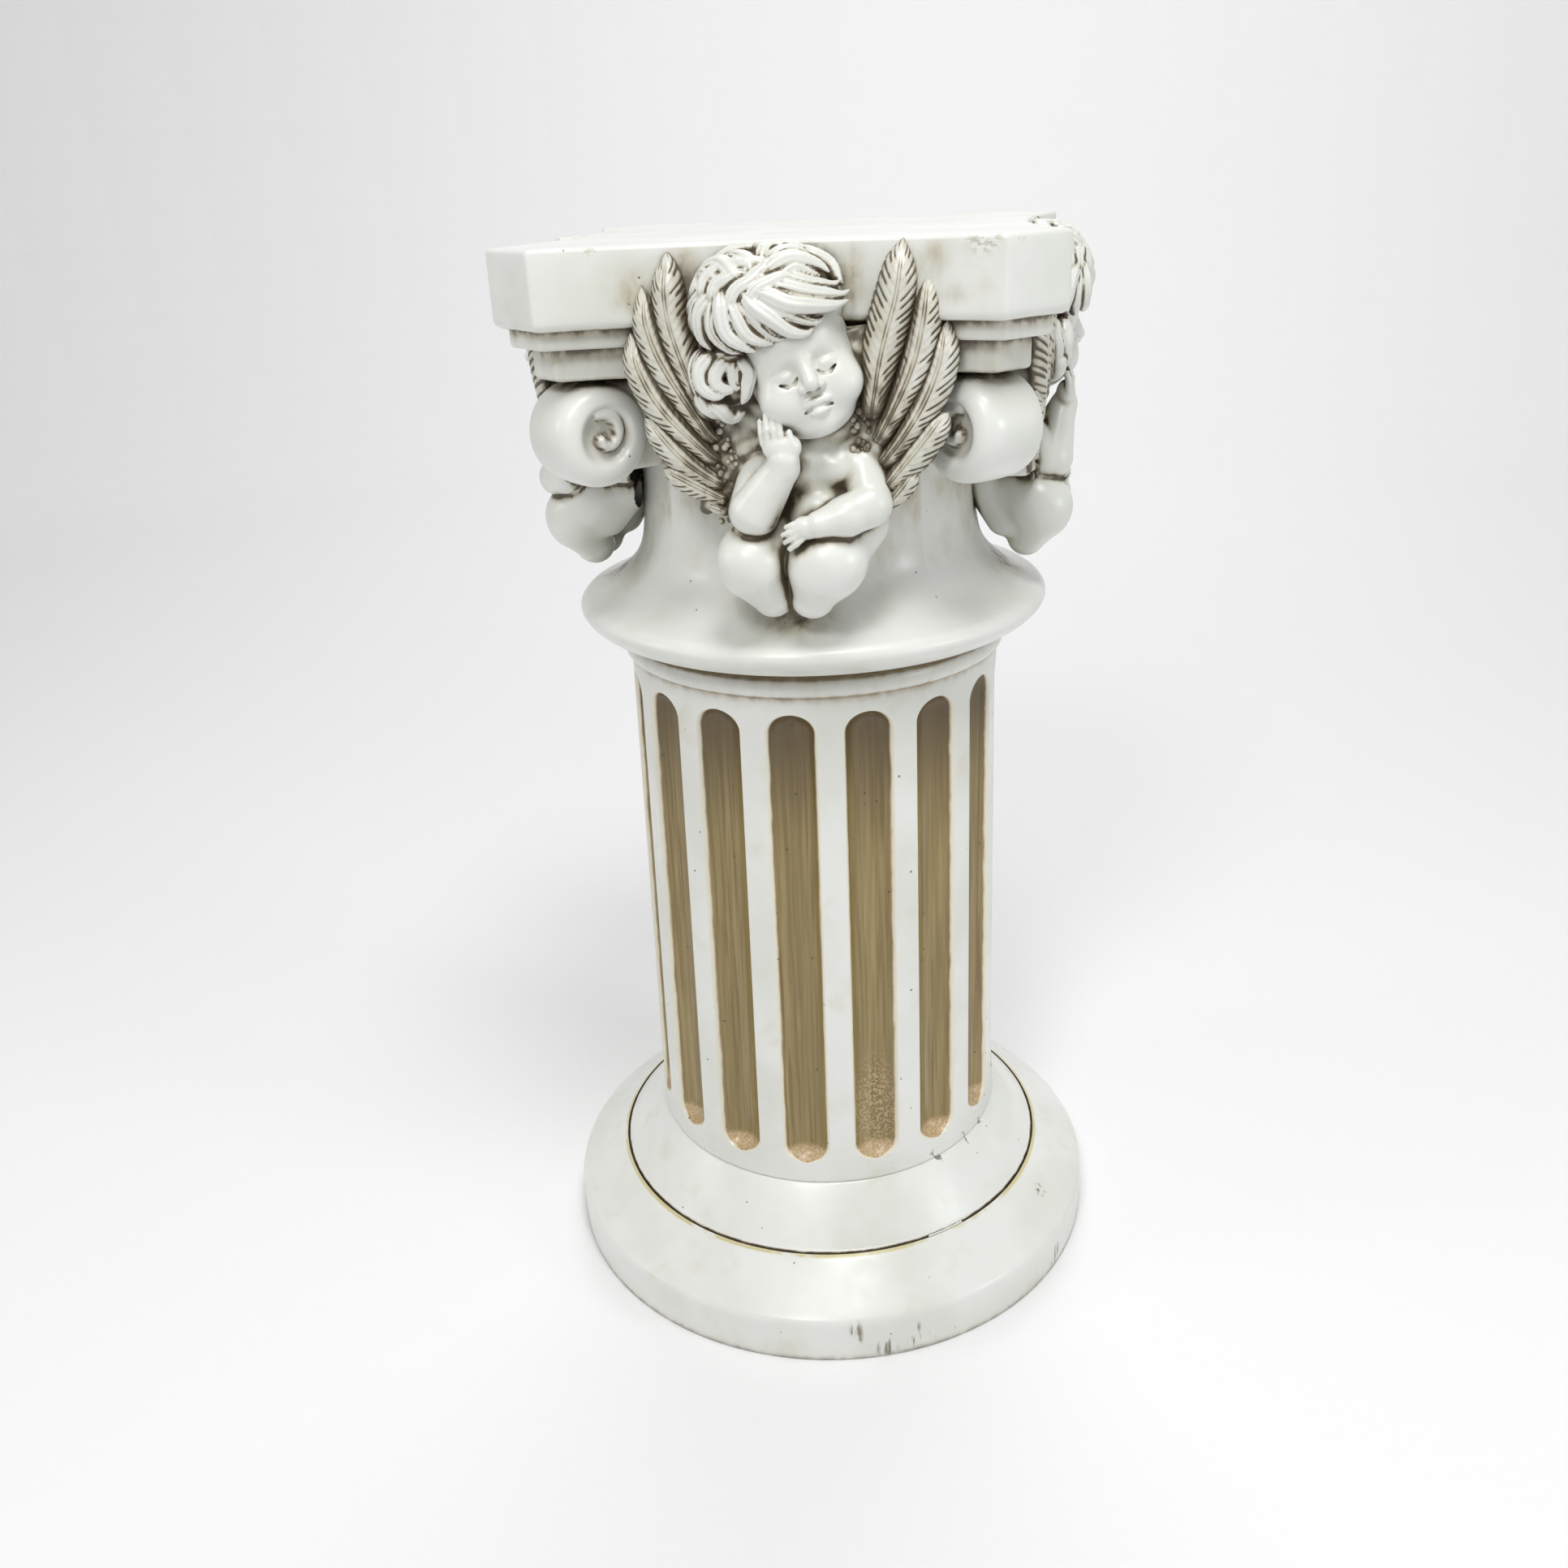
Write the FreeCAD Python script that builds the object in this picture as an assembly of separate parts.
import FreeCAD, Part
import math
import os

os.makedirs("parts", exist_ok=True)

V = FreeCAD.Vector
UP = V(0, 0, 1)
ORIGIN = V(0, 0, 0)

# ---------------------------------------------------------------- driving sizes, mm
# The column stands on z = 0 with its axis on z, and its front faces -Y.

HEIGHT = 750.0

# round plinth with a gently coned top
PLINTH_R = 206.6
PLINTH_SIDE = 34.5
PLINTH_EDGE = 3.0
PLINTH_FOOT = 20.0
GROOVE_R = 167.2
GROOVE_Z = 62.5
GROOVE_GAP = 1.2
SEAT_Z = 58.0

# coned base that carries the shaft
BASE_LIP = 1.6
FOOT_R = 133.5
FOOT_Z = 99.0
FOOT_FLARE = 4.0

# fluted shaft with its neck ring, as tall as the capital leaves it
CAPITAL_TALL = 256.0
SHAFT_TOP_Z = HEIGHT - CAPITAL_TALL
SHAFT_TOP_R = 129.5
NECK_R = 134.5
NECK_TALL = 14.0
NECK_DROP = 16.0
NECK_Z = SHAFT_TOP_Z - NECK_DROP
FLUTES = 16
FLUTE_WIDE = 35.0
FLUTE_DEEP = 11.0
FLUTE_FOOT_LAND = 17.5
FLUTE_HEAD_LAND = 11.3
FLUTE_LOW = FOOT_Z + FLUTE_FOOT_LAND
FLUTE_HIGH = NECK_Z - FLUTE_HEAD_LAND

# one bore runs up the middle of every casting, wider behind the flutes
BORE_R = 105.0
SHAFT_BORE_R = 112.0
BAND_THICK = 3.0
BAND_TALL = 28.0

# abacus: a slab with scooped sides over two fillets
SCOOP = 22.0
SLAB_THICK = 44.2
SLAB_HALF = 165.6
SLAB_CUT = 35.3
SLAB_LOW = HEIGHT - SLAB_THICK
SLAB_ROUND = 5.0
SLAB_TOP_ROUND = 2.0
SLAB_SKIN = 16.0
FILLET_1_TALL = 10.8
FILLET_1_HALF = 156.6
FILLET_1_CUT = 26.0
FILLET_1_LOW = SLAB_LOW - FILLET_1_TALL
FILLET_2_TALL = 18.4
FILLET_2_HALF = 145.4
FILLET_2_CUT = 19.8
FILLET_ROUND = 2.5

# capital bell and its rolled collar
COLLAR_R = 162.2
COLLAR_RISE = 19.0
COLLAR_Z = SHAFT_TOP_Z + COLLAR_RISE
BELL_R = 112.5
BELL_TOP_Z = FILLET_1_LOW - FILLET_2_TALL
BELL_EDGE = 2.0

# corner volutes, each a roll lying across the diagonal
ROLL_R = 31.0
ROLL_WIDE = 43.0
ROLL_OUT = 164.0
ROLL_GAP = 2.0
ROLL_ROUND = 4.0
STALK_WIDE = 30.0
STALK_LOW = 6.0
DISH_R = 23.0
DISH_DEEP = 5.0
CURL_TALL = 4.0
CURL_TURN = 235.0
CURL_START = 20.5
CURL_END = 5.0
CURL_HALF = 3.6

# steel pins that hold the reliefs and the volutes
PIN_R = 4.0
PIN_INNER = 104.0
ROLL_PIN_LONG = 46.0
RELIEF_PIN_LONG = 32.0
RELIEF_PIN_X = 22.0
RELIEF_PIN_RISE = 118.0

# relief: its points below are in this unit, across, outward from the axis and up from the shaft's top
RELIEF_UNIT = 1.0
FEATHER_BACK = 144.0
WEB_FRONT = 150.0
WEB_BACK = 96.0


# ---------------------------------------------------------------- helpers


def write(shape, name):
    shape.exportStep("parts/" + name + ".step")


def turned(edges, angle=360):
    """A solid of revolution from a closed run of edges in the XZ plane, facing outward."""
    solid = Part.Face(Part.Wire(edges)).revolve(ORIGIN, UP, angle)
    if solid.Volume < 0:
        solid.reverse()
    return solid


def outline(points):
    """The closed run of straight edges through (radius, height) points."""
    return Part.makePolygon([V(r, 0, z) for r, z in points + points[:1]]).Edges


def line(a, b):
    return Part.makeLine(V(a[0], 0, a[1]), V(b[0], 0, b[1]))


def arc(a, m, b):
    return Part.Arc(V(a[0], 0, a[1]), V(m[0], 0, m[1]), V(b[0], 0, b[1])).toShape()


def curve(points):
    spline = Part.BSplineCurve()
    spline.interpolate([V(r, 0, z) for r, z in points])
    return spline.toShape()


def bore(low, high):
    return Part.makeCylinder(BORE_R, high - low, V(0, 0, low))


def spun(shape, angle):
    copy = shape.copy()
    copy.rotate(ORIGIN, UP, angle)
    return copy


def carved(solid, tools):
    """The solid with each tool taken out in turn, which suits tools that touch each other."""
    for tool in tools:
        solid = solid.cut(tool)
    return solid


def scooped(half, cut, low, high):
    """A square slab with cut corners and four sides scooped inward."""
    c = half - cut
    edges = []
    for quarter in range(4):
        side = Part.Arc(V(-c, -half, low), V(0, SCOOP - half, low), V(c, -half, low)).toShape()
        corner = Part.makeLine(V(c, -half, low), V(half, -c, low))
        edges += [spun(side, 90 * quarter), spun(corner, 90 * quarter)]
    return Part.Face(Part.Wire(edges)).extrude(V(0, 0, high - low))


def rounded(solid, radius, z):
    level = [e for e in solid.Edges if all(abs(v.Z - z) < 0.01 for v in e.Vertexes)]
    return solid.makeFillet(radius, level)


def at(p):
    """World point of a relief point given as (across, outward, up) in relief units."""
    return V(0, 0, SHAFT_TOP_Z) + V(p[0], -p[1], p[2]) * RELIEF_UNIT


def ball(p, r):
    return Part.makeSphere(r * RELIEF_UNIT, at(p))


def limb(p, rp, q, rq):
    """A tapered limb between two relief points."""
    return capsule(at(p), rp * RELIEF_UNIT, at(q), rq * RELIEF_UNIT)


def capsule(a, rp, b, rq):
    """Two balls and the cone that touches both, turned as one solid."""
    span = b - a
    lean = (rp - rq) / span.Length
    side = math.sqrt(1 - lean * lean)
    half = math.asin(lean)
    low = V(0, 0, -rp)
    low_mid = V(rp * math.cos(half / 2 - math.pi / 4), 0, rp * math.sin(half / 2 - math.pi / 4))
    low_end = V(rp * side, 0, rp * lean)
    top = span.Length
    high_end = V(rq * side, 0, top + rq * lean)
    high_mid = V(rq * math.cos(half / 2 + math.pi / 4), 0, top + rq * math.sin(half / 2 + math.pi / 4))
    high = V(0, 0, top + rq)
    edges = [
        Part.Arc(low, low_mid, low_end).toShape(),
        Part.makeLine(low_end, high_end),
        Part.Arc(high_end, high_mid, high).toShape(),
        Part.makeLine(high, low),
    ]
    solid = turned(edges)
    solid.Placement = FreeCAD.Placement(a, FreeCAD.Rotation(UP, span))
    return solid


def feather(root, bend, tip, wide, front):
    """A leaf-shaped prism: two bowed edges that meet at the root and at the tip."""
    r, m, t = [at((x, FEATHER_BACK / RELIEF_UNIT, up)) for x, up in (root, bend, tip)]
    along = (t - r).normalize()
    across = along.cross(V(0, 1, 0)).multiply(wide * RELIEF_UNIT)
    left = Part.Arc(r, m + across, t).toShape()
    right = Part.Arc(t, m - across, r).toShape()
    return Part.Face(Part.Wire([left, right])).extrude(V(0, FEATHER_BACK - front * RELIEF_UNIT, 0))


# ---------------------------------------------------------------- plinth

plinth = turned(
    outline(
        [
            (PLINTH_R - PLINTH_FOOT, 0),
            (PLINTH_R, 0),
            (PLINTH_R, PLINTH_SIDE - PLINTH_EDGE),
            (PLINTH_R - PLINTH_EDGE * 0.3, PLINTH_SIDE - PLINTH_EDGE * 0.3),
            (PLINTH_R - PLINTH_EDGE * 1.2, PLINTH_SIDE + PLINTH_EDGE * 0.5),
            (GROOVE_R, GROOVE_Z),
            (GROOVE_R, SEAT_Z),
            (BORE_R, SEAT_Z),
            (BORE_R, SEAT_Z - PLINTH_FOOT),
            (PLINTH_R - PLINTH_FOOT, PLINTH_SIDE - PLINTH_FOOT),
        ]
    )
)
write(plinth, "plinth")

# ---------------------------------------------------------------- coned base

lip_r = GROOVE_R - GROOVE_GAP
base_cone = turned(
    [
        line((BORE_R, SEAT_Z), (lip_r, SEAT_Z)),
        line((lip_r, SEAT_Z), (lip_r, GROOVE_Z)),
        line((lip_r, GROOVE_Z), (lip_r - BASE_LIP, GROOVE_Z + BASE_LIP * 0.4)),
        curve(
            [
                (lip_r - BASE_LIP, GROOVE_Z + BASE_LIP * 0.4),
                (FOOT_R + FOOT_FLARE * 4, (GROOVE_Z + FOOT_Z) / 2 + FOOT_FLARE * 0.1),
                (FOOT_R + FOOT_FLARE, FOOT_Z - FOOT_FLARE),
                (FOOT_R, FOOT_Z),
            ]
        ),
        line((FOOT_R, FOOT_Z), (BORE_R, FOOT_Z)),
        line((BORE_R, FOOT_Z), (BORE_R, SEAT_Z)),
    ]
)
write(base_cone, "base_cone")

# the stretch of the groove that has been filled flush, front right
FILL_FROM = 302.5
FILL_TO = 312.7
fill = outline([(lip_r, SEAT_Z), (GROOVE_R, SEAT_Z), (GROOVE_R, GROOVE_Z), (lip_r, GROOVE_Z)])
groove_fill = spun(turned(fill, FILL_TO - FILL_FROM), FILL_FROM)
write(groove_fill, "groove_fill")

# ---------------------------------------------------------------- fluted shaft

ring_mid = NECK_Z + NECK_TALL / 2
ring_low = (SHAFT_TOP_R, NECK_Z)
ring_high = (SHAFT_TOP_R, NECK_Z + NECK_TALL)
shaft = turned(
    [
        line((BORE_R, FOOT_Z), (FOOT_R, FOOT_Z)),
        line((FOOT_R, FOOT_Z), ring_low),
        arc(ring_low, (NECK_R, ring_mid), ring_high),
        line(ring_high, (SHAFT_TOP_R, SHAFT_TOP_Z)),
        line((SHAFT_TOP_R, SHAFT_TOP_Z), (BORE_R, SHAFT_TOP_Z)),
        line((BORE_R, SHAFT_TOP_Z), (BORE_R, SHAFT_TOP_Z - BAND_TALL)),
        line((BORE_R, SHAFT_TOP_Z - BAND_TALL), (SHAFT_BORE_R, SHAFT_TOP_Z - 2 * BAND_TALL)),
        line((SHAFT_BORE_R, SHAFT_TOP_Z - 2 * BAND_TALL), (SHAFT_BORE_R, FOOT_Z + 2 * BAND_TALL)),
        line((SHAFT_BORE_R, FOOT_Z + 2 * BAND_TALL), (BORE_R, FOOT_Z + BAND_TALL)),
        line((BORE_R, FOOT_Z + BAND_TALL), (BORE_R, FOOT_Z)),
    ]
)
flute_r = (FLUTE_WIDE**2 / 4 + FLUTE_DEEP**2) / (2 * FLUTE_DEEP)
low_z = FLUTE_LOW + FLUTE_WIDE / 2
high_z = FLUTE_HIGH - FLUTE_WIDE / 2
taper = (FOOT_R - SHAFT_TOP_R) / (NECK_Z - FOOT_Z)
reach = flute_r - FLUTE_DEEP
low_out = FOOT_R - taper * (low_z - FOOT_Z) + reach
high_out = FOOT_R - taper * (high_z - FOOT_Z) + reach
channel = capsule(V(0, -low_out, low_z), flute_r, V(0, -high_out, high_z), flute_r)
shaft = shaft.cut([spun(channel, 360.0 * n / FLUTES) for n in range(FLUTES)])
write(shaft, "shaft")

# ---------------------------------------------------------------- pins

roll_z = BELL_TOP_Z - ROLL_GAP - ROLL_R
roll_pin = Part.makeCylinder(PIN_R, ROLL_PIN_LONG, V(0, -PIN_INNER, roll_z), V(0, -1, 0))
relief_pin = Part.makeCylinder(
    PIN_R, RELIEF_PIN_LONG, V(RELIEF_PIN_X, -PIN_INNER, SHAFT_TOP_Z + RELIEF_PIN_RISE), V(0, -1, 0)
)

# ---------------------------------------------------------------- capital bell

# the flare's curve, as shares of its reach: outward from the bell and up from the collar's widest line
flare_shares = [
    (0.658, -0.292),
    (0.889, -0.161),
    (1.0, 0.0),
    (0.930, 0.131),
    (0.759, 0.201),
    (0.557, 0.292),
    (0.342, 0.453),
    (0.161, 0.664),
    (0.060, 0.926),
    (0.012, 1.308),
    (0.0, 1.811),
]
flare = COLLAR_R - BELL_R
flare_foot = (SHAFT_TOP_R, SHAFT_TOP_Z + BELL_EDGE)
flare_curve = [(BELL_R + flare * out, COLLAR_Z + flare * up) for out, up in flare_shares]
bell_plug = turned(
    [
        line((0, SHAFT_TOP_Z), (SHAFT_TOP_R - BELL_EDGE * 1.5, SHAFT_TOP_Z)),
        line((SHAFT_TOP_R - BELL_EDGE * 1.5, SHAFT_TOP_Z), flare_foot),
        curve([flare_foot] + flare_curve),
        line(flare_curve[-1], (BELL_R, BELL_TOP_Z)),
        line((BELL_R, BELL_TOP_Z), (0, BELL_TOP_Z)),
        line((0, BELL_TOP_Z), (0, SHAFT_TOP_Z)),
    ]
)
pin_holes = [spun(roll_pin, 45 + 90 * n) for n in range(4)]
pin_holes += [spun(relief_pin, 90 * n) for n in range(4)]
bell = carved(bell_plug, [bore(SHAFT_TOP_Z, BELL_TOP_Z)] + pin_holes)
write(bell, "capital_bell")

# ---------------------------------------------------------------- abacus

slab = scooped(SLAB_HALF, SLAB_CUT, SLAB_LOW, HEIGHT)
slab = rounded(slab, SLAB_ROUND, SLAB_LOW)
slab = rounded(slab, SLAB_TOP_ROUND, HEIGHT)
fillet_1 = rounded(scooped(FILLET_1_HALF, FILLET_1_CUT, FILLET_1_LOW, SLAB_LOW), FILLET_ROUND, FILLET_1_LOW)
fillet_2 = rounded(scooped(FILLET_2_HALF, FILLET_2_CUT, BELL_TOP_Z, FILLET_1_LOW), FILLET_ROUND, BELL_TOP_Z)
abacus_plug = slab.fuse([fillet_1, fillet_2])
abacus = abacus_plug.cut(bore(BELL_TOP_Z, HEIGHT - SLAB_SKIN))
write(abacus, "abacus")

# ---------------------------------------------------------------- bonding bands in the bore

for name, seam in (("base", SEAT_Z), ("foot", FOOT_Z), ("neck", SHAFT_TOP_Z), ("head", BELL_TOP_Z)):
    low = seam - BAND_TALL / 2
    ring = Part.makeCylinder(BORE_R, BAND_TALL, V(0, 0, low))
    write(ring.cut(Part.makeCylinder(BORE_R - BAND_THICK, BAND_TALL, V(0, 0, low))), "bond_band_" + name)

# ---------------------------------------------------------------- volutes

# built facing the front, then turned onto the four diagonals
roll = Part.makeCylinder(ROLL_R, ROLL_WIDE, V(-ROLL_WIDE / 2, -ROLL_OUT, roll_z), V(1, 0, 0))
roll = roll.makeFillet(ROLL_ROUND, [e for e in roll.Edges if isinstance(e.Curve, Part.Circle)])
stalk_low = roll_z - ROLL_R + STALK_LOW
stalk = Part.makeBox(
    STALK_WIDE,
    ROLL_OUT - BORE_R,
    BELL_TOP_Z - ROLL_GAP - stalk_low,
    V(-STALK_WIDE / 2, -ROLL_OUT, stalk_low),
)
dish = Part.makeCylinder(DISH_R, DISH_DEEP, V(ROLL_WIDE / 2 - DISH_DEEP, -ROLL_OUT, roll_z), V(1, 0, 0))
far_dish = dish.mirror(ORIGIN, V(1, 0, 0))
inner, outer = [], []
for step in range(13):
    share = step / 12.0
    turn = math.radians(CURL_TURN * share)
    middle = CURL_START + (CURL_END - CURL_START) * share
    half = CURL_HALF * (1 - 0.35 * share)
    for points, radius in ((inner, middle - half), (outer, middle + half)):
        y = -ROLL_OUT + radius * math.cos(turn)
        points.append(V(ROLL_WIDE / 2 - DISH_DEEP, y, roll_z + radius * math.sin(turn)))
inner_edge, outer_edge = Part.BSplineCurve(), Part.BSplineCurve()
inner_edge.interpolate(inner)
outer_edge.interpolate(outer)
curl_outline = Part.Wire(
    [
        inner_edge.toShape(),
        Part.makeLine(inner[-1], outer[-1]),
        outer_edge.toShape(),
        Part.makeLine(outer[0], inner[0]),
    ]
)
curl = Part.Face(curl_outline).extrude(V(CURL_TALL, 0, 0))
far_curl = curl.mirror(ORIGIN, V(1, 0, 0))
volute = roll.fuse(stalk).cut([dish, far_dish]).fuse([curl, far_curl])
volute = carved(volute, [bell_plug, roll_pin])
for name, angle in (("front_right", 45), ("back_right", 135), ("back_left", 225), ("front_left", 315)):
    write(spun(volute, angle), "volute_" + name)
    write(spun(roll_pin, angle), "pin_volute_" + name)

# ---------------------------------------------------------------- cherub relief

# the figure sits a little right of centre
head = [
    limb((21, 150, 181), 27, (8, 148, 210), 32),
    limb((-13, 150, 213), 29, (14, 150, 218), 32),
    ball((-1, 152, 228), 26),
    ball((24, 156, 220), 22),
    ball((-29, 152, 187), 15),
    ball((-23, 158, 172), 12),
    ball((-33, 146, 204), 12),
    ball((4, 157, 174), 16),
    ball((37, 154, 175), 15),
    ball((26, 160, 165), 11),
    ball((27, 177, 185), 5),
    ball((31, 169, 172), 6),
]
body = [
    limb((24, 134, 156), 15, (25, 136, 134), 17),
    limb((23, 133, 130), 25, (25, 132, 100), 27),
    ball((-4, 138, 128), 14),
    ball((51, 138, 126), 15),
]
arms = [
    limb((-8, 143, 126), 12, (-9, 160, 106), 12),
    limb((-5, 163, 108), 15, (7, 170, 136), 10),
    limb((6, 172, 140), 8, (3, 171, 154), 6),
    limb((-3, 173, 149), 3, (-4, 172, 163), 2.4),
    limb((54, 141, 123), 14, (58, 150, 109), 13.5),
    limb((57, 152, 107), 13, (26, 170, 100), 8.5),
    limb((24, 171, 100), 8, (13, 172, 96), 5),
]
legs = [
    limb((6, 132, 92), 20, (-16, 158, 81), 20),
    limb((-15, 157, 80), 19.5, (-7, 141, 52), 14),
    limb((46, 130, 94), 20, (28, 158, 81), 22),
    limb((27, 157, 80), 21.5, (17, 141, 52), 15),
    limb((-6, 139, 54), 14, (4, 133, 42), 13),
    limb((17, 139, 54), 14, (10, 133, 42), 13),
]
left_wing = [
    feather((-34, 178), (-44, 208), (-47, 231), 5, 149),
    feather((-30, 158), (-54, 208), (-56, 252), 10, 158),
    feather((-30, 142), (-62, 190), (-69, 234), 8, 157),
    feather((-28, 134), (-68, 171), (-77, 207), 8, 156),
    feather((-26, 118), (-57, 138), (-75, 158), 8, 154),
    feather((-22, 108), (-46, 120), (-65, 131), 6, 152),
]
right_wing = [
    feather((56, 174), (72, 218), (75, 254), 12, 159),
    feather((58, 150), (84, 198), (87, 241), 8, 158),
    feather((60, 138), (90, 173), (98, 212), 8, 157),
    feather((62, 122), (85, 142), (99, 163), 9, 155),
    feather((62, 112), (72, 121), (80, 129), 5, 152),
]
web_points = [
    (-28, 106),
    (62, 106),
    (70, 146),
    (70, 196),
    (62, 214),
    (-46, 214),
    (-54, 196),
    (-46, 146),
    (-28, 106),
]
web_outline = Part.makePolygon([at((x, WEB_BACK / RELIEF_UNIT, up)) for x, up in web_points])
web = Part.Face(web_outline).extrude(V(0, WEB_BACK - WEB_FRONT, 0))

cherub = web.multiFuse(head + body + arms + legs + left_wing + right_wing)
cherub = carved(cherub, [bell_plug, abacus_plug, relief_pin]).removeSplitter()
for name, angle in (("front", 0), ("right", 90), ("back", 180), ("left", 270)):
    write(spun(cherub, angle), "cherub_" + name)
    write(spun(relief_pin, angle), "pin_cherub_" + name)
